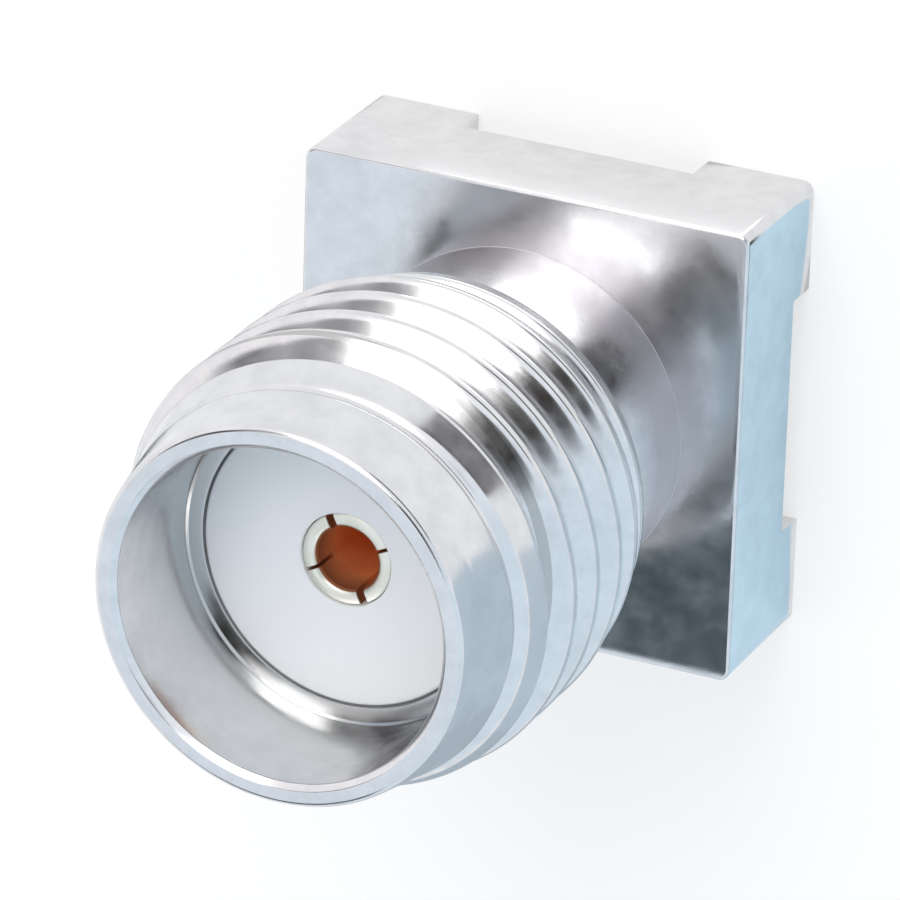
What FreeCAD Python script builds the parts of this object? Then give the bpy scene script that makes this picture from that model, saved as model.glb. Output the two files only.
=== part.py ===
# Threaded coaxial jack that is soldered to a circuit board.
# Millimetres, +Z up. The origin is on the board, in the middle between the four feet.

import FreeCAD, Part
import math
import os
import Sketcher

doc = FreeCAD.newDocument("CoaxialJack")

# The driving sizes. Heights are lengths of their own, so that what stands on them moves with them.
sizes = {
    # square flange and its feet
    "flangeSide": 6.5,
    "flangeThick": 1.68,
    "footRise": 0.52,
    "footSide": 1.55,
    "cornerRound": 0.16,
    "faceRound": 0.09,
    # barrel, from the flange's front face to the mouth
    "barrelLong": 7.23,
    "neckWall": 0.34,
    "neckFillet": 0.1,
    # threaded part, measured back from the mouth
    "noseLong": 1.13,
    "leadLong": 0.85,
    "threadLong": 2.05,
    "runOutLong": 1.05,
    "noseRadius": 2.8,
    "runOutRadius": 2.83,
    "threadRadius": 3.15,
    "threadPitch": 0.7056,
    "threadDepth": 0.4,
    "crestFlat": 0.16,
    "rootFlat": 0.084,
    "firstGroove": 1.2,
    "grooveOver": 0.05,
    # mouth
    "rimWall": 0.3,
    "mouthEdge": 0.05,
    "mouthBore": 2.3,
    "mouthBevel": 0.08,
    "mouthDeep": 2.0,
    # insulator and its seat in the shell
    "insulatorRadius": 2.04,
    "insulatorEdge": 0.04,
    "spigotRadius": 1.55,
    "lipThick": 0.5,
    "seatGap": 0.02,
    # centre contact
    "socketRadius": 0.635,
    "socketBore": 0.47,
    "socketDeep": 2.6,
    "drillTip": 0.25,
    "socketEdge": 0.03,
    "countersink": 0.05,
    "contactSet": 0.03,
    "tailRadius": 0.45,
    "tailEdge": 0.08,
    "tailStep": 1.4,
    "barbStart": 2.3,
    "barbLong": 0.35,
    "barbRise": 0.1,
    "contactGap": 0.01,
    "slotWide": 0.13,
    "slotDeep": 1.9,
    "slotTurn": 25.0,
}

sheet = doc.addObject("Spreadsheet::Sheet", "Sizes")
for row, name in enumerate(sizes, start=1):
    sheet.set("A%d" % row, name)
    sheet.set("B%d" % row, str(sizes[name]))
    sheet.setAlias("B%d" % row, name)
doc.recompute()

# Heights above the board, each a sum of the sizes
flangeFace = "footRise + flangeThick"
mouthFace = flangeFace + " + barrelLong"
noseFoot = mouthFace + " - noseLong"
threadFront = noseFoot + " - leadLong"
threadBack = threadFront + " - threadLong"
shoulder = threadBack + " - runOutLong"
innerFace = mouthFace + " - mouthDeep"
lipFace = "footRise + lipThick"
tailTop = "footRise + tailStep"
barbFoot = "footRise + barbStart"
barbTop = barbFoot + " + barbLong"
contactTop = innerFace + " - contactSet"

# Radii that follow from what the shell holds
seatRadius = "insulatorRadius + seatGap"
neckRadius = seatRadius + " + neckWall"
rimRadius = "mouthBore + rimWall"


# a sum such as "footRise + flangeSide/2" as a number
def amount(text):
    total = 0.0
    sign = 1.0
    for word in text.split():
        if word in "+-":
            sign = 1.0 if word == "+" else -1.0
            continue
        name, _, share = word.partition("/")
        value = sizes[name] if name in sizes else float(name)
        total += sign * value / float(share or 1)
    return total


# the same sum as a formula on the sheet's cells
def formula(text):
    words = []
    for word in text.split():
        name = word.partition("/")[0]
        words.append("Sizes." + word if name in sizes else word)
    return " ".join(words)


def originPlane(body, role):
    for feature in body.Origin.OriginFeatures:
        if feature.Role == role:
            return feature


# a closed outline through the points, every corner held by the sheet's sizes
def outline(body, name, role, points):
    sketch = body.newObject("Sketcher::SketchObject", name)
    sketch.AttachmentSupport = [(originPlane(body, role), "")]
    sketch.MapMode = "FlatFace"
    places = [FreeCAD.Vector(amount(across), amount(up), 0) for across, up in points]
    count = len(places)
    for i in range(count):
        sketch.addGeometry(Part.LineSegment(places[i], places[(i + 1) % count]), False)
    for i in range(count):
        sketch.addConstraint(Sketcher.Constraint("Coincident", i, 2, (i + 1) % count, 1))
    for i, (across, up) in enumerate(points):
        for kind, text in (("DistanceX", across), ("DistanceY", up)):
            if text == "0":
                axis = -2 if kind == "DistanceX" else -1
                sketch.addConstraint(Sketcher.Constraint("PointOnObject", i, 1, axis))
                continue
            index = sketch.addConstraint(Sketcher.Constraint(kind, -1, 1, i, 1, amount(text)))
            sketch.setExpression("Constraints[%d]" % index, formula(text))
    return sketch


def turned(body, kind, name, points):
    profile = outline(body, name + "Profile", "XZ_Plane", points)
    feature = body.newObject("PartDesign::" + kind, name)
    feature.Profile = profile
    feature.ReferenceAxis = (profile, ["V_Axis"])
    feature.Angle = 360
    doc.recompute()
    return feature


# names of the feature's edges that pass the test
def edgesWhere(feature, test):
    return ["Edge%d" % (i + 1) for i, edge in enumerate(feature.Shape.Edges) if test(edge)]


def rounded(body, name, base, test, radius):
    feature = body.newObject("PartDesign::Fillet", name)
    feature.Base = (base, edgesWhere(base, test))
    feature.Radius = amount(radius)
    feature.setExpression("Radius", formula(radius))
    doc.recompute()
    return feature


def atHeight(edge, height):
    box = edge.BoundBox
    return abs(box.ZMin - height) < 1e-4 and abs(box.ZMax - height) < 1e-4


# Shell: flange, feet, neck, threaded barrel and mouth, cut from one bar.
blank = doc.addObject("PartDesign::Body", "shellBlank")
half = "flangeSide/2"
square = outline(blank, "FlangeOutline", "XY_Plane",
                 [(half, half), ("0 - " + half, half), ("0 - " + half, "0 - " + half), (half, "0 - " + half)])
flange = blank.newObject("PartDesign::Pad", "Flange")
flange.Profile = square
flange.setExpression("Length", formula(flangeFace))
doc.recompute()

corners = rounded(blank, "FlangeCorners", flange,
                  lambda edge: edge.BoundBox.ZLength > amount(flangeFace) / 2, "cornerRound")
front = rounded(blank, "FlangeFrontEdge", corners,
                lambda edge: atHeight(edge, amount(flangeFace)), "faceRound")

# two channels across the underside leave a foot at each corner
inner = "flangeSide/2 - footSide"
outer = "flangeSide"
minusInner = "footSide - flangeSide/2"
minusOuter = "0 - flangeSide"
cross = outline(blank, "ChannelOutline", "XY_Plane",
                [(inner, inner), (inner, outer), (minusInner, outer), (minusInner, inner),
                 (minusOuter, inner), (minusOuter, minusInner), (minusInner, minusInner), (minusInner, minusOuter),
                 (inner, minusOuter), (inner, minusInner), (outer, minusInner), (outer, inner)])
before = front.Shape.Volume
channels = blank.newObject("PartDesign::Pocket", "Channels")
channels.Profile = cross
channels.Reversed = True
channels.setExpression("Length", formula("footRise"))
doc.recompute()
print("channels remove", round(before - channels.Shape.Volume, 3))

barrel = turned(blank, "Revolution", "Barrel", [
    ("0", "footRise"),
    (neckRadius, "footRise"),
    (neckRadius, shoulder),
    ("runOutRadius", shoulder),
    ("threadRadius", threadBack),
    ("threadRadius", threadFront),
    ("noseRadius", noseFoot),
    (rimRadius, mouthFace + " - mouthEdge"),
    (rimRadius + " - mouthEdge", mouthFace),
    ("0", mouthFace)])

root = rounded(blank, "NeckRoot", barrel,
               lambda edge: atHeight(edge, amount(flangeFace)) and len(edge.Vertexes) == 1, "neckFillet")

bore = turned(blank, "Groove", "Bore", [
    ("0", "0"),
    ("spigotRadius + seatGap", "0"),
    ("spigotRadius + seatGap", lipFace),
    (seatRadius, lipFace),
    (seatRadius, innerFace),
    ("mouthBore", innerFace),
    ("mouthBore", mouthFace + " - mouthBevel"),
    ("mouthBore + mouthBevel", mouthFace),
    ("0", mouthFace)])
print("bore removes", round(root.Shape.Volume - bore.Shape.Volume, 3))

# The thread is right-handed. Its groove starts behind the shoulder, in the air round the neck,
# and winds out of the nose's taper, so that it runs out at both ends.
turns = "(ceil((Sizes.noseLong + Sizes.leadLong + Sizes.threadLong + Sizes.runOutLong"
turns += " - Sizes.firstGroove) / Sizes.threadPitch) + 2)"
groove = doc.addObject("PartDesign::Body", "threadGroove")
section = outline(groove, "ThreadSection", "XZ_Plane", [
    ("threadRadius - threadDepth", "0 - rootFlat/2"),
    ("threadRadius", "crestFlat/2 - threadPitch/2"),
    ("threadRadius + grooveOver", "crestFlat/2 - threadPitch/2"),
    ("threadRadius + grooveOver", "threadPitch/2 - crestFlat/2"),
    ("threadRadius", "threadPitch/2 - crestFlat/2"),
    ("threadRadius - threadDepth", "rootFlat/2")])
section.setExpression(".AttachmentOffset.Base.y", formula(mouthFace) +
                      " - Sizes.firstGroove + Sizes.threadPitch - " + turns + " * Sizes.threadPitch")
doc.recompute()
winding = groove.newObject("PartDesign::AdditiveHelix", "Winding")
winding.Profile = section
winding.ReferenceAxis = (section, ["V_Axis"])
winding.Mode = "pitch-turns-angle"
winding.setExpression("Pitch", "Sizes.threadPitch")
winding.setExpression("Turns", turns)
winding.Angle = 0
winding.LeftHanded = False
winding.Reversed = False
winding.Refine = False
doc.recompute()

# The groove leaves the nose's taper at a very small angle, so it is cut with a tolerance of its own
# and the metal it takes away is compared.
shell = doc.addObject("Part::Feature", "shell")
shell.Shape = blank.Shape.cut([groove.Shape], 0.0001)
threadMetal = blank.Shape.Volume - shell.Shape.Volume
print("thread removes", round(threadMetal, 3))
if round(threadMetal, 3) <= 0:
    raise RuntimeError("the thread groove was not cut")

# Insulator: a stepped bead that rests on the shell's lip and is flush with the inner face.
insulator = doc.addObject("PartDesign::Body", "insulator")
turned(insulator, "Revolution", "Bead", [
    ("tailRadius + contactGap", "footRise"),
    ("spigotRadius", "footRise"),
    ("spigotRadius", lipFace),
    ("insulatorRadius", lipFace),
    ("insulatorRadius", innerFace + " - insulatorEdge"),
    ("insulatorRadius - insulatorEdge", innerFace),
    ("socketRadius + contactGap", innerFace),
    ("socketRadius + contactGap", barbTop),
    ("socketRadius + contactGap + barbRise", barbTop),
    ("socketRadius + contactGap", barbFoot),
    ("socketRadius + contactGap", tailTop),
    ("tailRadius + contactGap", tailTop)])

# Centre contact: a drilled socket with four sprung tines, a barb and a solder tail.
contact = doc.addObject("PartDesign::Body", "contact")
pin = turned(contact, "Revolution", "TurnedPin", [
    ("0", "0"),
    ("tailRadius - tailEdge", "0"),
    ("tailRadius", "tailEdge"),
    ("tailRadius", tailTop),
    ("socketRadius", tailTop),
    ("socketRadius", barbFoot),
    ("socketRadius + barbRise", barbTop),
    ("socketRadius", barbTop),
    ("socketRadius", contactTop + " - socketEdge"),
    ("socketRadius - socketEdge", contactTop),
    ("socketBore + countersink", contactTop),
    ("socketBore", contactTop + " - countersink"),
    ("socketBore", contactTop + " - socketDeep"),
    ("0", contactTop + " - socketDeep - drillTip")])

reach = "socketRadius + barbRise"
sideways = "slotWide/2"
saw = outline(contact, "SlotOutline", "XY_Plane", [
    (reach, sideways), ("0 - " + reach.replace("+", "-"), sideways),
    ("0 - " + reach.replace("+", "-"), "0 - " + sideways), (reach, "0 - " + sideways)])
saw.setExpression(".AttachmentOffset.Base.z", formula(contactTop))
saw.AttachmentOffset = FreeCAD.Placement(FreeCAD.Vector(0, 0, amount(contactTop)),
                                         FreeCAD.Rotation(FreeCAD.Vector(0, 0, 1), sizes["slotTurn"]))
saw.setExpression(".AttachmentOffset.Rotation.Angle", "Sizes.slotTurn")
slot = contact.newObject("PartDesign::Pocket", "Slot")
slot.Profile = saw
slot.setExpression("Length", "Sizes.slotDeep")
doc.recompute()
print("one slot removes", round(pin.Shape.Volume - slot.Shape.Volume, 4))
tines = contact.newObject("PartDesign::PolarPattern", "Tines")
tines.Originals = [slot]
tines.Axis = (saw, ["N_Axis"])
tines.Angle = 90
tines.Occurrences = 2
contact.Tip = tines
doc.recompute()
print("both slots remove", round(pin.Shape.Volume - tines.Shape.Volume, 4))

for item in doc.Objects:
    if "Invalid" in item.State or "Error" in item.State:
        raise RuntimeError("failed: " + item.Name)

os.makedirs("parts", exist_ok=True)
for body in (shell, insulator, contact):
    body.Label = body.Name
    body.Placement = FreeCAD.Placement()
    shape = body.Shape
    if shape.isNull() or not shape.isValid() or len(shape.Solids) != 1:
        raise RuntimeError("bad solid: " + body.Label)
    shape.exportStep("parts/" + body.Label + ".step")
    box = shape.BoundBox
    print(body.Label, "volume", round(shape.Volume, 4), "faces", len(shape.Faces),
          "box", [round(v, 3) for v in (box.XMin, box.YMin, box.ZMin, box.XMax, box.YMax, box.ZMax)])
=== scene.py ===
import bpy
import bmesh
import math
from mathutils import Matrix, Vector


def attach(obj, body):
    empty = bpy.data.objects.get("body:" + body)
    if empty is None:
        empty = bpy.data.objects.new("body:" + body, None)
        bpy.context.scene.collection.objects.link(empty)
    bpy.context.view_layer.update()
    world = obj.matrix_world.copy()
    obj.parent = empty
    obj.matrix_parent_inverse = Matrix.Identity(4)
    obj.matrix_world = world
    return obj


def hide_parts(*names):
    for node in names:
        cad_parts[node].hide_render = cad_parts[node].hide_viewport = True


# Coaxial jack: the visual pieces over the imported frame, with +Z out of the mouth.
# Blender works in metres, and every size below is in millimetres unless its note says otherwise.
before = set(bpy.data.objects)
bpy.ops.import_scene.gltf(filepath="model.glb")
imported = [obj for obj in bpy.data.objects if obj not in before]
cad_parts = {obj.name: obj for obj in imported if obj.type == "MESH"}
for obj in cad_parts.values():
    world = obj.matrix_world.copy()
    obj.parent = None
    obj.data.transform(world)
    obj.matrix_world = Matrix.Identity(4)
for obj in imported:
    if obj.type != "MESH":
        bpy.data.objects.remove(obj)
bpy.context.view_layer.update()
mm = 0.001
print("frame loaded")


# a piece that rides on the part's only body and stands for one node
def addPiece(name, mesh, node):
    piece = bpy.data.objects.new(name, mesh)
    bpy.context.scene.collection.objects.link(piece)
    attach(piece, "root")
    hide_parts(node)
    return piece


# sharpAngle in degrees: flatter edges than this are shaded smooth
def meshFrom(name, points, faces, sharpAngle=35):
    mesh = bpy.data.meshes.new(name)
    mesh.from_pydata([(x * mm, y * mm, z * mm) for x, y, z in points], [], faces)
    mesh.validate()
    smoothShade(mesh, sharpAngle)
    return mesh


def smoothShade(mesh, sharpAngle):
    mesh.shade_smooth()
    mesh.set_sharp_from_angle(angle=math.radians(sharpAngle))


# long flats keep their own normals beside small rounded edges
def flattenShading(piece, weight=100):
    steady = piece.modifiers.new("flats", "WEIGHTED_NORMAL")
    steady.weight = weight
    steady.keep_sharp = True
    applyModifiers(piece)


# cuts the tool's shape out of the piece and throws the tool away
def cutOut(piece, tool):
    cut = piece.modifiers.new("cut", "BOOLEAN")
    cut.object = tool
    cut.operation = "DIFFERENCE"
    cut.solver = "EXACT"
    applyModifiers(piece)
    bpy.data.objects.remove(tool)


def applyModifiers(piece):
    graph = bpy.context.evaluated_depsgraph_get()
    result = bpy.data.meshes.new_from_object(piece.evaluated_get(graph))
    piece.modifiers.clear()
    piece.data = result


# adds the rings of an (r, z) outline, turned about the axis, and returns the faces between them
def turn(points, profile, columns, closed=False):
    rings = []
    for radius, height in profile:
        if radius == 0:
            rings.append([len(points)] * columns)
            points.append((0.0, 0.0, height))
            continue
        rings.append(list(range(len(points), len(points) + columns)))
        for j in range(columns):
            a = 2 * math.pi * j / columns
            points.append((radius * math.cos(a), radius * math.sin(a), height))
    if closed:
        rings.append(rings[0])
    faces = []
    for low, high in zip(rings, rings[1:]):
        for j in range(columns):
            k = (j + 1) % columns
            corners = list(dict.fromkeys([low[j], low[k], high[k], high[j]]))
            if len(corners) > 2:
                faces.append(corners)
    return faces


# the corner of an outline between two straight runs, as a short arc
def roundCorner(before, corner, after, radius, steps):
    a = Vector(before) - Vector(corner)
    b = Vector(after) - Vector(corner)
    half = a.angle(b) / 2
    reach = min(radius / math.tan(half), a.length * 0.49, b.length * 0.49)
    start = Vector(corner) + a.normalized() * reach
    end = Vector(corner) + b.normalized() * reach
    inwards = (a.normalized() + b.normalized()).normalized()
    centre = Vector(corner) + inwards * (reach / math.cos(half))
    size = (start - centre).length
    arc = []
    for i in range(steps + 1):
        point = start.lerp(end, i / steps)
        arc.append(tuple(centre + (point - centre).normalized() * size))
    return arc


# camera, fitted to the photograph's view: place in metres, turn in radians
view = {
    "place": (0.0376092, 0.0412353, 0.0861843), "turn": (-0.412974, 0.443341, 0.031434),
    "lens": 300, "sensor": 36, "near": 0.001, "far": 20,
}
cameraData = bpy.data.cameras.new("photoView")
cameraData.sensor_width = view["sensor"]
cameraData.lens = view["lens"]
cameraData.clip_start = view["near"]
cameraData.clip_end = view["far"]
camera = bpy.data.objects.new("photoView", cameraData)
camera.location = view["place"]
camera.rotation_euler = view["turn"]
bpy.context.scene.collection.objects.link(camera)
bpy.context.scene.camera = camera


# node helpers for the materials, which are all procedural
def newMaterial(name):
    material = bpy.data.materials.new(name)
    material.use_nodes = True
    tree = material.node_tree
    return material, tree, tree.nodes["Principled BSDF"]


def link(tree, source, target):
    tree.links.new(source, target)


# object coordinates with each axis scaled, for streaks and grain
def stretched(tree, scale=(1, 1, 1)):
    place = tree.nodes.new("ShaderNodeTexCoord")
    mapping = tree.nodes.new("ShaderNodeMapping")
    mapping.inputs["Scale"].default_value = scale
    link(tree, place.outputs["Object"], mapping.inputs["Vector"])
    return mapping.outputs["Vector"]


# noise in space, or along one value only when flat
def noise(tree, vector, scale, detail=3.0, rough=0.5, flat=False):
    node = tree.nodes.new("ShaderNodeTexNoise")
    if flat:
        node.noise_dimensions = "1D"
        link(tree, vector, node.inputs["W"])
    else:
        link(tree, vector, node.inputs["Vector"])
    node.inputs["Scale"].default_value = scale
    node.inputs["Detail"].default_value = detail
    node.inputs["Roughness"].default_value = rough
    return node.outputs["Fac"]


# a value mapped from one range to another
def spread(tree, value, low, high, fromLow=0.0, fromHigh=1.0):
    node = tree.nodes.new("ShaderNodeMapRange")
    node.inputs["From Min"].default_value = fromLow
    node.inputs["From Max"].default_value = fromHigh
    node.inputs["To Min"].default_value = low
    node.inputs["To Max"].default_value = high
    link(tree, value, node.inputs["Value"])
    return node.outputs["Result"]


def maths(tree, operation, a, b=None):
    node = tree.nodes.new("ShaderNodeMath")
    node.operation = operation
    for i, value in enumerate((a, b)):
        if value is None:
            continue
        if isinstance(value, (int, float)):
            node.inputs[i].default_value = value
        else:
            link(tree, value, node.inputs[i])
    return node.outputs[0]


# height and distance from the axis, in millimetres
def turnedPlace(tree):
    place = tree.nodes.new("ShaderNodeTexCoord")
    parts = tree.nodes.new("ShaderNodeSeparateXYZ")
    link(tree, place.outputs["Object"], parts.inputs[0])
    across, along, height = [maths(tree, "MULTIPLY", part, 1 / mm) for part in parts.outputs]
    squares = maths(tree, "ADD", maths(tree, "POWER", across, 2), maths(tree, "POWER", along, 2))
    return height, maths(tree, "SQRT", squares)


# 1 at one height only, for a face square to the axis and as much of its edge as reach takes in
def nearHeight(tree, height, level, reach):
    near = maths(tree, "COMPARE", height, level)
    near.node.inputs[2].default_value = reach
    return near


# from the first plain colour to the second
def mixColour(tree, factor, first, second):
    node = tree.nodes.new("ShaderNodeMix")
    node.data_type = "RGBA"
    node.inputs["A"].default_value = (*first, 1)
    node.inputs["B"].default_value = (*second, 1)
    link(tree, factor, node.inputs["Factor"])
    return node.outputs["Result"]


# the same with a linked colour under a plain one
def layColour(tree, factor, under, over):
    node = tree.nodes.new("ShaderNodeMix")
    node.data_type = "RGBA"
    link(tree, under, node.inputs["A"])
    node.inputs["B"].default_value = (*over, 1)
    link(tree, factor, node.inputs["Factor"])
    return node.outputs["Result"]


def bump(tree, shader, height, strength, distance):
    node = tree.nodes.new("ShaderNodeBump")
    node.inputs["Strength"].default_value = strength
    node.inputs["Distance"].default_value = distance
    link(tree, height, node.inputs["Height"])
    link(tree, node.outputs["Normal"], shader.inputs["Normal"])
    return node


# the shell's bright plating, rougher on the low neck, with painted shade on the low neck, deep in the bore
# and on the faces at the inner steps
plating = {
    "light": (0.77, 0.765, 0.775), "dull": (0.69, 0.69, 0.70), "gloss": 0.12, "satin": 0.23,
    "cloudSize": 2600.0, "cloudDetail": 5.0, "cloudRough": 0.6,
    "waveSize": 800.0, "waveDepth": 0.00002, "waveBump": 0.35,  # depths in metres
    "ringSize": 9.0, "ringBump": 0.35, "streakScale": (9000, 9000, 400), "streakBump": 0.25,
    "markDepth": 0.0000018,
    "skinFrom": 0.35, "skinTo": 0.65, "glossFrom": 0.3, "glossTo": 0.7,  # parts of the cloud's range
    # the tints of the low neck, the shoulder's underside, the step round the insulator and the deep bore
    # are painted shade
    "satinFrom": 3.45, "satinTo": 2.9, "lowNeckShade": (0.56, 0.54, 0.565), "satinMore": 0.17,
    "shoulder": 4.35, "shoulderReach": 0.004, "shoulderShade": (0.74, 0.73, 0.73),
    "ledge": 7.43, "ledgeReach": 0.035, "ledgeShade": (0.5, 0.5, 0.5),
    "boreWall": 2.31, "boreBottom": 6.6, "boreFrom": 9.2, "boreTo": 7.6, "boreShade": (0.68, 0.69, 0.69),
}


# cloudy noise that mottles colour and gloss alike
def platingCloud(tree):
    return noise(tree, stretched(tree), plating["cloudSize"], plating["cloudDetail"], plating["cloudRough"])


def platingSkin(tree, cloud):
    share = spread(tree, cloud, 0, 1, plating["skinFrom"], plating["skinTo"])
    return mixColour(tree, share, plating["light"], plating["dull"])


def platingRoughness(tree, cloud):
    return spread(tree, cloud, plating["gloss"], plating["satin"], plating["glossFrom"], plating["glossTo"])


# slow waves under the fine marks that the tool left
def platingRelief(tree, shader, marks, strength):
    waves = noise(tree, stretched(tree), plating["waveSize"], detail=2.0)
    fine = bump(tree, shader, marks, strength, plating["markDepth"])
    slow = bump(tree, shader, waves, plating["waveBump"], plating["waveDepth"])
    link(tree, slow.outputs["Normal"], fine.inputs["Normal"])
    link(tree, fine.outputs["Normal"], shader.inputs["Normal"])


# turned metal: fine rings round the axis
def turnedPlating():
    material, tree, shader = newMaterial("turnedPlating")
    height, radius = turnedPlace(tree)
    turning = maths(tree, "ADD", height, radius)
    rings = noise(tree, turning, plating["ringSize"], detail=4.0, rough=0.6, flat=True)
    cloud = platingCloud(tree)
    skin = platingSkin(tree, cloud)
    # painted shade: the low neck is darkened, and it is also rougher
    neck = spread(tree, height, 1, 0, plating["satinTo"], plating["satinFrom"])
    skin = layColour(tree, neck, skin, plating["lowNeckShade"])
    # painted shade: the bore darkens towards the insulator, and the faces at both steps, the shoulder's
    # underside and the step round the insulator, are darkened
    inBore = maths(tree, "MULTIPLY", maths(tree, "LESS_THAN", radius, plating["boreWall"]),
                   spread(tree, height, 0, 1, plating["boreFrom"], plating["boreTo"]))
    inBore = maths(tree, "MULTIPLY", inBore, maths(tree, "GREATER_THAN", height, plating["boreBottom"]))
    skin = layColour(tree, inBore, skin, plating["boreShade"])
    # painted shade under the thread's shoulder
    onShoulder = nearHeight(tree, height, plating["shoulder"], plating["shoulderReach"])
    skin = layColour(tree, onShoulder, skin, plating["shoulderShade"])
    # painted shade on the step round the insulator
    onLedge = nearHeight(tree, height, plating["ledge"], plating["ledgeReach"])
    skin = layColour(tree, onLedge, skin, plating["ledgeShade"])
    link(tree, skin, shader.inputs["Base Color"])
    duller = maths(tree, "MULTIPLY", neck, plating["satinMore"])
    link(tree, maths(tree, "ADD", platingRoughness(tree, cloud), duller), shader.inputs["Roughness"])
    shader.inputs["Metallic"].default_value = 1.0
    platingRelief(tree, shader, rings, plating["ringBump"])
    return material


# milled metal: the flange, with faint streaks across its sides
def milledPlating():
    material, tree, shader = newMaterial("milledPlating")
    streaks = noise(tree, stretched(tree, plating["streakScale"]), scale=1.0, detail=3.0, rough=0.6)
    cloud = platingCloud(tree)
    link(tree, platingSkin(tree, cloud), shader.inputs["Base Color"])
    link(tree, platingRoughness(tree, cloud), shader.inputs["Roughness"])
    shader.inputs["Metallic"].default_value = 1.0
    platingRelief(tree, shader, streaks, plating["streakBump"])
    return material


# depths in metres
bead = {
    "colour": (0.96, 0.96, 0.965), "shade": (0.93, 0.94, 0.96), "cloudSize": 1200.0, "rough": 0.5,
    "ringSize": 14.0, "ringBump": 0.2, "ringDepth": 0.000002, "glow": 0.25, "glowDepth": 0.0003,
}


# fluoropolymer: matt white that lets a little light in, with faint turning rings
def fluoropolymer():
    material, tree, shader = newMaterial("fluoropolymer")
    cloud = noise(tree, stretched(tree), bead["cloudSize"], detail=3.0)
    radius = turnedPlace(tree)[1]
    rings = noise(tree, radius, bead["ringSize"], detail=2.0, flat=True)
    link(tree, mixColour(tree, cloud, bead["colour"], bead["shade"]), shader.inputs["Base Color"])
    shader.inputs["Roughness"].default_value = bead["rough"]
    shader.inputs["Subsurface Weight"].default_value = bead["glow"]
    shader.inputs["Subsurface Radius"].default_value = (1, 1, 1)
    shader.inputs["Subsurface Scale"].default_value = bead["glowDepth"]
    bump(tree, shader, rings, bead["ringBump"], bead["ringDepth"])
    return material


gold = {
    # the inside and lip colours are painted warm shade and reflection in the socket
    "face": (0.84, 0.82, 0.73), "inside": (1.0, 0.52, 0.23), "insideMetal": 0.72,
    "wall": 0.632, "insideTop": 7.375, "insideBottom": 3.2,
    "lip": (0.42, 0.17, 0.08), "lipFrom": 6.85, "lipTo": 7.3,
    "grainSize": 2500.0, "gloss": 0.3, "satin": 0.5, "glossFrom": 0.3, "glossTo": 0.7, "dull": 0.18,
}


# gold plating, pale on the face; deep copper inside the drilled socket and darkest at its lip, painted
# shade and reflection in the hole
def goldPlating():
    material, tree, shader = newMaterial("goldPlating")
    height, radius = turnedPlace(tree)
    deep = maths(tree, "MULTIPLY", maths(tree, "LESS_THAN", radius, gold["wall"]),
                 maths(tree, "LESS_THAN", height, gold["insideTop"]))
    deep = maths(tree, "MULTIPLY", deep, maths(tree, "GREATER_THAN", height, gold["insideBottom"]))
    # painted shade and reflection: the socket's inside turns deep copper and its lip a darker brown
    skin = mixColour(tree, deep, gold["face"], gold["inside"])
    lip = maths(tree, "MULTIPLY", deep, spread(tree, height, 0, 1, gold["lipFrom"], gold["lipTo"]))
    link(tree, layColour(tree, lip, skin, gold["lip"]), shader.inputs["Base Color"])
    link(tree, spread(tree, deep, 1.0, gold["insideMetal"]), shader.inputs["Metallic"])
    grain = noise(tree, stretched(tree), gold["grainSize"], detail=3.0)
    grain = spread(tree, grain, gold["gloss"], gold["satin"], gold["glossFrom"], gold["glossTo"])
    rough = maths(tree, "ADD", grain, maths(tree, "MULTIPLY", deep, gold["dull"]))
    link(tree, rough, shader.inputs["Roughness"])
    return material


turnedMetal = turnedPlating()
milledMetal = milledPlating()
beadMaterial = fluoropolymer()
goldMetal = goldPlating()
print("materials ready")

# shell: barrel with its thread, neck, mouth and bore, its outline given as (height, radius);
# the flange's face and the insulator's top lie at heights given here
barrel = {
    "columns": 288, "rowsPerTurn": 30, "softCrest": 0.05, "weld": 0.0004,
    "neck": 2.4, "neckTop": 0.02, "neckRing": 3.2, "neckRoot": 0.012, "rootSteps": 6,
    "face": 2.2, "rootSink": 0.002, "shoulder": 4.35,
    "outline": [(4.35, 2.83), (5.4, 3.15), (7.45, 3.15), (8.3, 2.8), (9.43, 2.6)],
    "threadTop": 9.15, "pitch": 0.7056, "rootRadius": 2.75, "rootHalf": 0.042, "flank": 1.733,
    "firstGroove": 8.23,
    "noseFrom": 9.0, "mouth": 9.43, "mouthRadius": 2.6, "outerEdge": 0.09, "rimRing": 0.012,
    "bevel": 0.08, "bevelTop": 0.02, "bevelEnd": 0.03,  # width of the mouth's inner bevel, radii beside it
    "bore": 2.3, "boreRing": 8.4, "innerFace": 7.43, "seat": 2.06, "stepEdge": 0.03, "seatEdge": 0.008,
}


def outlineRadius(height):
    points = barrel["outline"]
    for (lowZ, lowR), (highZ, highR) in zip(points, points[1:]):
        if height <= highZ:
            return lowR + (highR - lowR) * (height - lowZ) / (highZ - lowZ)
    return points[-1][1]


# radius of the V groove at a distance along the axis from its middle
def grooveRadius(away):
    return barrel["rootRadius"] + max(abs(away) - barrel["rootHalf"], 0) * barrel["flank"]


# the smaller of the two, with the edge between them slightly rounded
def softLower(a, b):
    soft = barrel["softCrest"]
    gap = a - b
    if abs(gap) >= 2 * soft:
        return min(a, b)
    return (a + b) / 2 - gap * gap / (8 * soft) - soft / 2


# a point of the threaded surface, whose groove climbs one pitch each turn
def threadPoint(height, turnShare):
    pitch = barrel["pitch"]
    away = (height - barrel["firstGroove"] - pitch * turnShare) / pitch
    away = (away - round(away)) * pitch
    radius = softLower(outlineRadius(height), grooveRadius(away))
    a = 2 * math.pi * turnShare
    return (radius * math.cos(a), radius * math.sin(a), height)


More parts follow.
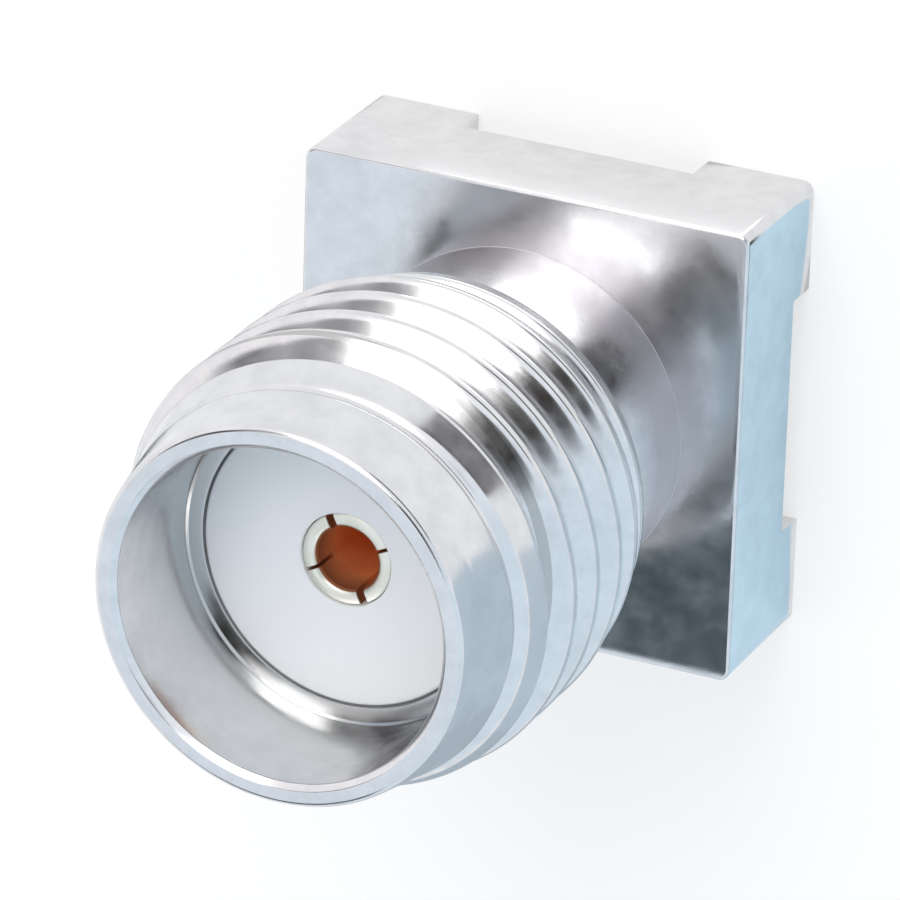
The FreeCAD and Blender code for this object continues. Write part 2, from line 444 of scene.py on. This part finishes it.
# rows that climb with the thread, cut off flat at both ends
def addThread(points, faces):
    columns = barrel["columns"]
    rows = barrel["rowsPerTurn"]
    pitch = barrel["pitch"]
    low, high = barrel["shoulder"], barrel["threadTop"]
    step = pitch / rows
    count = int(math.ceil((high - low + pitch) / step)) + 2
    bottom = barrel["firstGroove"] - pitch * math.ceil((barrel["firstGroove"] - low + pitch) / pitch)
    offset = int(math.floor((low - pitch - bottom) / step))
    for i in range(count + rows + 2):
        for j in range(columns):
            along = bottom + (offset + i) * step + pitch * j / columns
            points.append(threadPoint(min(max(along, low), high), j / columns))
    total = len(points)
    for i in range(count + 1):
        for j in range(columns):
            here, above = i * columns + j, (i + 1) * columns + j
            if j + 1 < columns:
                corners = [here, here + 1, above + 1, above]
            else:
                corners = [here, (i + rows) * columns, (i + rows + 1) * columns, above]
            if max(corners) >= total:
                continue
            heights = [points[c][2] for c in corners]
            if max(heights) - min(heights) > 1e-7:
                faces.append(corners)


# nose, rim, mouth, bore wall, the step round the insulator and its seat
def insideProfile():
    b = barrel
    top, wall, face, seat = b["mouth"], b["bore"], b["innerFace"], b["seat"]
    nose = (outlineRadius(b["noseFrom"]), b["noseFrom"])
    rim = (b["mouthRadius"], top)
    bevelTop, bevelEnd = (wall + b["bevel"], top), (wall, top - b["bevel"])
    profile = [(outlineRadius(b["threadTop"]), b["threadTop"])]
    profile += roundCorner(nose, rim, (wall, top), b["outerEdge"], 6)
    profile += [(wall + b["bevel"] + b["rimRing"], top)]
    profile += roundCorner(rim, bevelTop, bevelEnd, b["bevelTop"], 2)
    profile += roundCorner(bevelTop, bevelEnd, (wall, face), b["bevelEnd"], 3)
    step, seatEdge = b["stepEdge"], b["seatEdge"]
    profile += [(wall, b["boreRing"]), (wall, face + step), (wall - step, face)]
    profile += [(seat + step, face), (seat + seatEdge, face - seatEdge)]
    profile += [(seat, face - step), (seat, b["face"] - b["rootSink"])]
    return profile


# neck from under the shoulder down to its small root on the flange
def neckProfile():
    b = barrel
    profile = [(b["neck"] + b["neckTop"], b["shoulder"]), (b["neck"], b["shoulder"] - b["neckTop"])]
    profile += [(b["neck"], b["neckRing"])]
    for i in range(b["rootSteps"] + 1):
        a = math.pi / 2 * i / b["rootSteps"]
        out, up = b["neckRoot"] * (1 - math.cos(a)), b["neckRoot"] * (1 - math.sin(a))
        profile.append((b["neck"] + out, b["face"] + up))
    profile.append((b["neck"] + b["neckRoot"], b["face"] - b["rootSink"]))
    return profile


def makeBarrel():
    columns = barrel["columns"]
    points = []
    faces = []
    addThread(points, faces)
    faces += [list(reversed(f)) for f in turn(points, insideProfile(), columns)]
    seatEnd = len(points) - columns
    shoulderRing = len(points)
    points += [threadPoint(barrel["shoulder"], j / columns) for j in range(columns)]
    neckStart = len(points)
    faces += [list(reversed(f)) for f in turn(points, neckProfile(), columns)]
    neckEnd = len(points) - columns
    # the shoulder's underside, and the ring under the flange's face that closes the mesh
    for outer, inner in ((shoulderRing, neckStart), (seatEnd, neckEnd)):
        for j in range(columns):
            k = (j + 1) % columns
            faces.append([outer + j, inner + j, inner + k, outer + k])
    mesh = meshFrom("shellBarrel", points, faces, sharpAngle=30)
    form = bmesh.new()
    form.from_mesh(mesh)
    bmesh.ops.remove_doubles(form, verts=form.verts, dist=barrel["weld"] * mm)
    bmesh.ops.recalc_face_normals(form, faces=form.faces)
    form.to_mesh(mesh)
    form.free()
    smoothShade(mesh, sharpAngle=40)
    piece = addPiece("shellBarrel", mesh, "shell")
    flattenShading(piece, weight=80)
    piece.data.materials.append(turnedMetal)
    return piece


barrelPiece = makeBarrel()
print("barrel", len(barrelPiece.data.polygons), "faces")

# shell: flange and feet
flange = {
    "half": 3.25, "foot": 1.55, "rise": 0.52, "face": barrel["face"],
    "corner": 0.16, "frontEdge": 0.045, "breakEdge": 0.02,
    "hole": 1.57, "holeTop": 1.02, "holeColumns": 96, "drillFrom": -1.0,
    "tiny": 0.0001, "sharp": 60,  # how near two places count as one, and a sharp edge's turn in degrees
}


def bevelEdges(form, edges, offset, segments):
    bmesh.ops.bevel(form, geom=edges, offset=offset * mm, segments=segments, profile=0.5, affect="EDGES",
                    clamp_overlap=True)


# the block with the plus-shaped channel that leaves four feet, before its edges are rounded
def flangeBlock():
    half = flange["half"]
    inner = half - flange["foot"]
    rise = flange["rise"]
    face = flange["face"]
    form = bmesh.new()
    known = {}

    def vertex(x, y, z):
        key = (round(x, 4), round(y, 4), round(z, 4))
        if key not in known:
            known[key] = form.verts.new((x * mm, y * mm, z * mm))
        return known[key]

    def polygon(*points):
        form.faces.new([vertex(*p) for p in points])

    polygon((half, half, face), (-half, half, face), (-half, -half, face), (half, -half, face))
    for side in range(4):
        def place(u, v, z):  # u along the side, v outwards
            for _ in range(side):
                u, v = -v, u
            return (u, v, z)
        polygon(place(-half, half, 0), place(-half, half, face), place(half, half, face),
                place(half, half, 0), place(inner, half, 0), place(inner, half, rise),
                place(-inner, half, rise), place(-inner, half, 0))
        polygon(place(half, half, 0), place(half, inner, 0), place(inner, inner, 0), place(inner, half, 0))
        polygon(place(inner, inner, 0), place(inner, inner, rise), place(inner, half, rise),
                place(inner, half, 0))
        polygon(place(inner, inner, 0), place(half, inner, 0), place(half, inner, rise),
                place(inner, inner, rise))
    polygon((inner, half, rise), (inner, inner, rise), (half, inner, rise), (half, -inner, rise),
            (inner, -inner, rise), (inner, -half, rise), (-inner, -half, rise), (-inner, -inner, rise),
            (-half, -inner, rise), (-half, inner, rise), (-inner, inner, rise), (-inner, half, rise))
    bmesh.ops.recalc_face_normals(form, faces=form.faces)
    return form


def roundFlange(form):
    half = flange["half"] * mm
    topZ = flange["face"] * mm
    tiny = flange["tiny"] * mm

    def upright(edge):
        first, second = [v.co for v in edge.verts]
        return abs(first.z - second.z) > tiny

    def atCorner(edge):
        return all(abs(abs(v.co.x) - half) < tiny and abs(abs(v.co.y) - half) < tiny for v in edge.verts)

    def onFront(edge):
        return all(abs(v.co.z - topZ) < tiny for v in edge.verts)

    bevelEdges(form, [e for e in form.edges if atCorner(e) and upright(e)], flange["corner"], 6)
    bevelEdges(form, [e for e in form.edges if onFront(e)], flange["frontEdge"], 4)
    limit = math.radians(flange["sharp"])
    sharp = [e for e in form.edges if len(e.link_faces) == 2 and e.calc_face_angle() > limit]
    bevelEdges(form, sharp, flange["breakEdge"], 2)
    bmesh.ops.triangulate(form, faces=[f for f in form.faces if len(f.verts) > 4])


# the insulator's hole in the underside
def makeDrill():
    columns = flange["holeColumns"]
    points = []
    outline = [(flange["hole"], flange["drillFrom"]), (flange["hole"], flange["holeTop"])]
    faces = turn(points, outline, columns)
    faces.append(list(range(columns - 1, -1, -1)))
    faces.append(list(range(columns, 2 * columns)))
    drill = bpy.data.objects.new("drill", meshFrom("drill", points, faces))
    bpy.context.scene.collection.objects.link(drill)
    return drill


def makeFlange():
    form = flangeBlock()
    roundFlange(form)
    mesh = bpy.data.meshes.new("shellFlange")
    form.to_mesh(mesh)
    form.free()
    piece = addPiece("shellFlange", mesh, "shell")
    cutOut(piece, makeDrill())
    smoothShade(piece.data, sharpAngle=50)
    flattenShading(piece)
    piece.data.materials.clear()
    piece.data.materials.append(milledMetal)
    return piece


flangePiece = makeFlange()
print("flange", len(flangePiece.data.polygons), "faces")

# insulator bead, with plain rings on its face, its wall and its hole
insulator = {
    "radius": 2.04, "hole": 0.645, "top": barrel["innerFace"], "edge": 0.05, "holeEdge": 0.02,
    "faceRings": (1.7, 1.3, 0.95), "wallRing": 7.03, "holeRing": 6.5,
    "spigot": 1.55, "lip": 1.02, "bottom": 0.52, "columns": 160,
}


def makeInsulator():
    i = insulator
    top, outer, hole = i["top"], i["radius"], i["hole"]
    profile = [(hole, i["bottom"]), (i["spigot"], i["bottom"]), (i["spigot"], i["lip"]), (outer, i["lip"])]
    profile += [(outer, i["wallRing"])]
    profile += roundCorner((outer, i["wallRing"]), (outer, top), (hole, top), i["edge"], 5)
    profile += [(radius, top) for radius in i["faceRings"]]
    profile += roundCorner((outer, top), (hole, top), (hole, i["holeRing"]), i["holeEdge"], 3)
    profile += [(hole, i["holeRing"])]
    points = []
    faces = turn(points, profile, i["columns"], closed=True)
    mesh = meshFrom("insulatorBead", points, faces, sharpAngle=40)
    addPiece("insulatorBead", mesh, "insulator")
    mesh.materials.append(beadMaterial)


makeInsulator()
print("insulator ready")

# centre contact with its socket, its barb and tail, and two crossed saw cuts given as (width, depth);
# the lip's two edges are given as (distance from its wall, depth under its top)
contact = {
    "socket": 0.635, "bore": 0.435, "top": 7.4, "deep": 2.6, "tip": 0.25, "wallRing": 5.0,
    "outerEdge": ((0.0, 0.03), (0.008, 0.01), (0.03, 0.0)),
    "boreEdge": ((0.06, 0.0), (0.042, 0.012), (0.008, 0.046), (0.0, 0.07)),
    "barb": 0.1, "barbTop": 3.17, "barbBottom": 2.82, "tail": 0.45, "tailTop": 1.92, "tailEdge": 0.08,
    "slots": ((0.05, 0.45), (0.12, 1.9)), "slotTurn": 25, "sawLength": 2.0, "columns": 96,
}


def contactProfile():
    c = contact
    top, socket, bore, tail = c["top"], c["socket"], c["bore"], c["tail"]
    profile = [(0, 0), (tail - c["tailEdge"], 0), (tail, c["tailEdge"]), (tail, c["tailTop"])]
    profile += [(socket, c["tailTop"]), (socket, c["barbBottom"]), (socket + c["barb"], c["barbTop"])]
    profile += [(socket, c["barbTop"]), (socket, c["wallRing"])]
    profile += [(socket - inwards, top - down) for inwards, down in c["outerEdge"]]
    profile += [(bore + outwards, top - down) for outwards, down in c["boreEdge"]]
    profile += [(bore, top - c["deep"]), (0, top - c["deep"] - c["tip"])]
    return profile


def makeSaw(width, depth, degrees):
    saw = bpy.data.meshes.new("saw")
    form = bmesh.new()
    bmesh.ops.create_cube(form, size=1)
    form.to_mesh(saw)
    form.free()
    cutter = bpy.data.objects.new("saw", saw)
    cutter.scale = (contact["sawLength"] * mm, width * mm, 2 * depth * mm)
    cutter.location = (0, 0, contact["top"] * mm)
    cutter.rotation_euler = (0, 0, math.radians(degrees))
    bpy.context.scene.collection.objects.link(cutter)
    return cutter


def makeContact():
    points = []
    faces = turn(points, contactProfile(), contact["columns"])
    mesh = meshFrom("contactSocket", points, faces, sharpAngle=40)
    piece = addPiece("contactSocket", mesh, "contact")
    for share, (width, depth) in enumerate(contact["slots"]):
        cutOut(piece, makeSaw(width, depth, contact["slotTurn"] + 90 * share))
    smoothShade(piece.data, sharpAngle=35)
    flattenShading(piece)
    piece.data.materials.clear()
    piece.data.materials.append(goldMetal)
    return piece


contactPiece = makeContact()
print("contact", len(contactPiece.data.polygons), "faces")

# paper floor: its own colour, the colour that is seen of it, and how far that is whitened
stage = {
    "size": 3.0,  # in metres
    "floor": (0.93, 0.925, 0.92), "seen": (1.0, 0.985, 0.965), "white": 0.55, "glow": 1.0,
    "rough": 0.9, "shine": 0.1,
}


def flatMesh(name, wide, tall):
    mesh = bpy.data.meshes.new(name)
    corners = [(-wide, -tall, 0), (wide, -tall, 0), (wide, tall, 0), (-wide, tall, 0)]
    mesh.from_pydata(corners, [], [(0, 1, 2, 3)])
    return mesh


def makeFloor():
    mesh = flatMesh("floor", stage["size"], stage["size"])
    floor = bpy.data.objects.new("floor", mesh)
    bpy.context.scene.collection.objects.link(floor)
    material, tree, shader = newMaterial("paper")
    path = tree.nodes.new("ShaderNodeLightPath")
    mirrored = maths(tree, "MAXIMUM", path.outputs["Is Glossy Ray"], path.outputs["Is Transmission Ray"])
    seen = maths(tree, "MAXIMUM", path.outputs["Is Camera Ray"], mirrored)
    link(tree, mixColour(tree, seen, stage["floor"], stage["seen"]), shader.inputs["Base Color"])
    shader.inputs["Roughness"].default_value = stage["rough"]
    shader.inputs["Specular IOR Level"].default_value = stage["shine"]
    # the camera and the metal see the paper near white, and still under the part's shadow
    glow = tree.nodes.new("ShaderNodeEmission")
    glow.inputs["Strength"].default_value = stage["glow"]
    blend = tree.nodes.new("ShaderNodeMixShader")
    link(tree, maths(tree, "MULTIPLY", seen, stage["white"]), blend.inputs["Fac"])
    link(tree, shader.outputs["BSDF"], blend.inputs[1])
    link(tree, glow.outputs["Emission"], blend.inputs[2])
    link(tree, blend.outputs["Shader"], tree.nodes["Material Output"].inputs["Surface"])
    mesh.materials.append(material)


makeFloor()

# soft box: its direction seen from the part, its distance and sides in metres, its power in watts
softBox = {
    "towards": (-0.023, 0.725, 0.68), "far": 0.5, "wide": 0.32, "tall": 0.46, "power": 1.05,
    "tint": (1.0, 0.99, 0.98),
}


def makeSoftBox():
    lamp = bpy.data.lights.new("keyBox", "AREA")
    lamp.shape = "RECTANGLE"
    lamp.size = softBox["wide"]
    lamp.size_y = softBox["tall"]
    lamp.energy = softBox["power"]
    lamp.color = softBox["tint"]
    holder = bpy.data.objects.new("keyBox", lamp)
    away = Vector(softBox["towards"]).normalized()
    holder.location = away * softBox["far"]
    holder.rotation_euler = away.to_track_quat("Z", "Y").to_euler()
    bpy.context.scene.collection.objects.link(holder)


makeSoftBox()

# cards that only the metal sees, all painted reflections: one over the flange's low corner and one before
# the threads paint shade, the rest lie flat on the floor and paint the floor's shade, the last of them a
# glowing strip that paints a highlight
cards = [
    # painted shade in the metal's reflections, over the flange's low corner and before the threads
    {"name": "cardOverFlange", "centre": (-1.8, -7.6, 12.0), "wide": 5.5, "tall": 4.8, "faces": (0, 0, -1),
     "colour": (0.05, 0.075, 0.09)},
    {"name": "cardBeforeThread", "centre": (20.5, 24.0, 6.0), "wide": 22.0, "tall": 12.0,
     "faces": (-0.65, -0.76, 0), "colour": (0.16, 0.15, 0.15)},
    # painted shade of the floor and the part's shadow as the metal sees it; the bluish one paints bluish
    # shade beside the flange
    {"name": "cardBesideFlange", "centre": (4.3, -2.0, 0.02), "wide": 2.0, "tall": 10.0,
     "colour": (0.7, 0.9, 0.99)},
    {"name": "cardRight", "centre": (25.3, -14.0, 0.02), "wide": 40.0, "tall": 34.0,
     "colour": (0.54, 0.62, 0.68)},
    {"name": "cardBelow", "centre": (0.3, -18.0, 0.02), "wide": 10.0, "tall": 26.0,
     "colour": (0.48, 0.54, 0.58)},
    {"name": "cardLeft", "centre": (-6.3, -1.0, 0.02), "wide": 5.0, "tall": 5.0,
     "colour": (0.03, 0.033, 0.036)},
    {"name": "cardCorner", "centre": (5.4, 2.1, 0.03), "wide": 1.3, "tall": 2.8,
     "colour": (0.03, 0.03, 0.03)},
    # a glowing strip that is no lamp: a painted highlight in the metal
    {"name": "paintedHighlightStrip", "centre": (0.2, 6.0, 0.02), "wide": 5.6, "tall": 3.2,
     "colour": (0.9, 0.9, 0.9), "glow": 1.4},
]


def makeCard(card):
    mesh = flatMesh(card["name"], card["wide"] * mm / 2, card["tall"] * mm / 2)
    board = bpy.data.objects.new(card["name"], mesh)
    board.location = Vector(card["centre"]) * mm
    board.rotation_euler = Vector(card.get("faces", (0, 0, 1))).to_track_quat("Z", "Y").to_euler()
    bpy.context.scene.collection.objects.link(board)
    board.visible_camera = False
    board.visible_diffuse = False
    board.visible_shadow = False
    material, tree, shader = newMaterial(card["name"])
    shader.inputs["Base Color"].default_value = (*card["colour"], 1)
    shader.inputs["Roughness"].default_value = stage["rough"]
    shader.inputs["Emission Color"].default_value = (1, 1, 1, 1)
    shader.inputs["Emission Strength"].default_value = card.get("glow", 0)
    mesh.materials.append(material)


for card in cards:
    makeCard(card)

# the studio's walls: a pale tent, bluish on one side, with darker places where the room is open.
# A patch is full inside one cosine from its direction and fades out at the other.
tent = {
    "white": (1.0, 0.98, 0.99), "blue": (0.73, 0.85, 0.955), "blueSide": (0.7, -0.6, 0.35),
    "blueFrom": -0.2, "blueTo": 0.8, "strength": 1.09,
    "patches": [
        {"towards": (-0.4, -0.5, 0.77), "inside": 0.96, "outside": 0.8, "colour": (0.78, 0.86, 0.94)},
        {"towards": (0.42, 0.31, 0.85), "inside": 0.985, "outside": 0.968, "colour": (0.035, 0.031, 0.029)},
        {"towards": (0.2, 0.34, 0.92), "inside": 0.99, "outside": 0.976, "colour": (0.035, 0.031, 0.029)},
        {"towards": (0.36, 0.1, 0.93), "inside": 0.994, "outside": 0.984, "colour": (0.035, 0.031, 0.029)},
        {"towards": (-0.44, 0.53, 0.73), "inside": 0.992, "outside": 0.975, "colour": (0.3, 0.3, 0.31)},
        {"towards": (-0.68, 0.2, 0.7), "inside": 0.985, "outside": 0.955, "colour": (0.08, 0.08, 0.09)},
    ],
}


# cosine of the angle between the ray's direction and a fixed one
def facing(tree, place, towards):
    dot = tree.nodes.new("ShaderNodeVectorMath")
    dot.operation = "DOT_PRODUCT"
    dot.inputs[1].default_value = Vector(towards).normalized()
    link(tree, place.outputs["Generated"], dot.inputs[0])
    return dot.outputs["Value"]


def makeTent():
    world = bpy.data.worlds.new("tent")
    bpy.context.scene.world = world
    world.use_nodes = True
    tree = world.node_tree
    background = tree.nodes["Background"]
    place = tree.nodes.new("ShaderNodeTexCoord")
    side = spread(tree, facing(tree, place, tent["blueSide"]), 0, 1, tent["blueFrom"], tent["blueTo"])
    colour = mixColour(tree, side, tent["white"], tent["blue"])
    for patch in tent["patches"]:
        near = facing(tree, place, patch["towards"])
        mask = spread(tree, near, 0, 1, patch["outside"], patch["inside"])
        mask.node.interpolation_type = "SMOOTHSTEP"
        colour = layColour(tree, mask, colour, patch["colour"])
    link(tree, colour, background.inputs["Color"])
    background.inputs["Strength"].default_value = tent["strength"]


makeTent()
bpy.context.scene.view_settings.view_transform = "Standard"
print("studio ready")
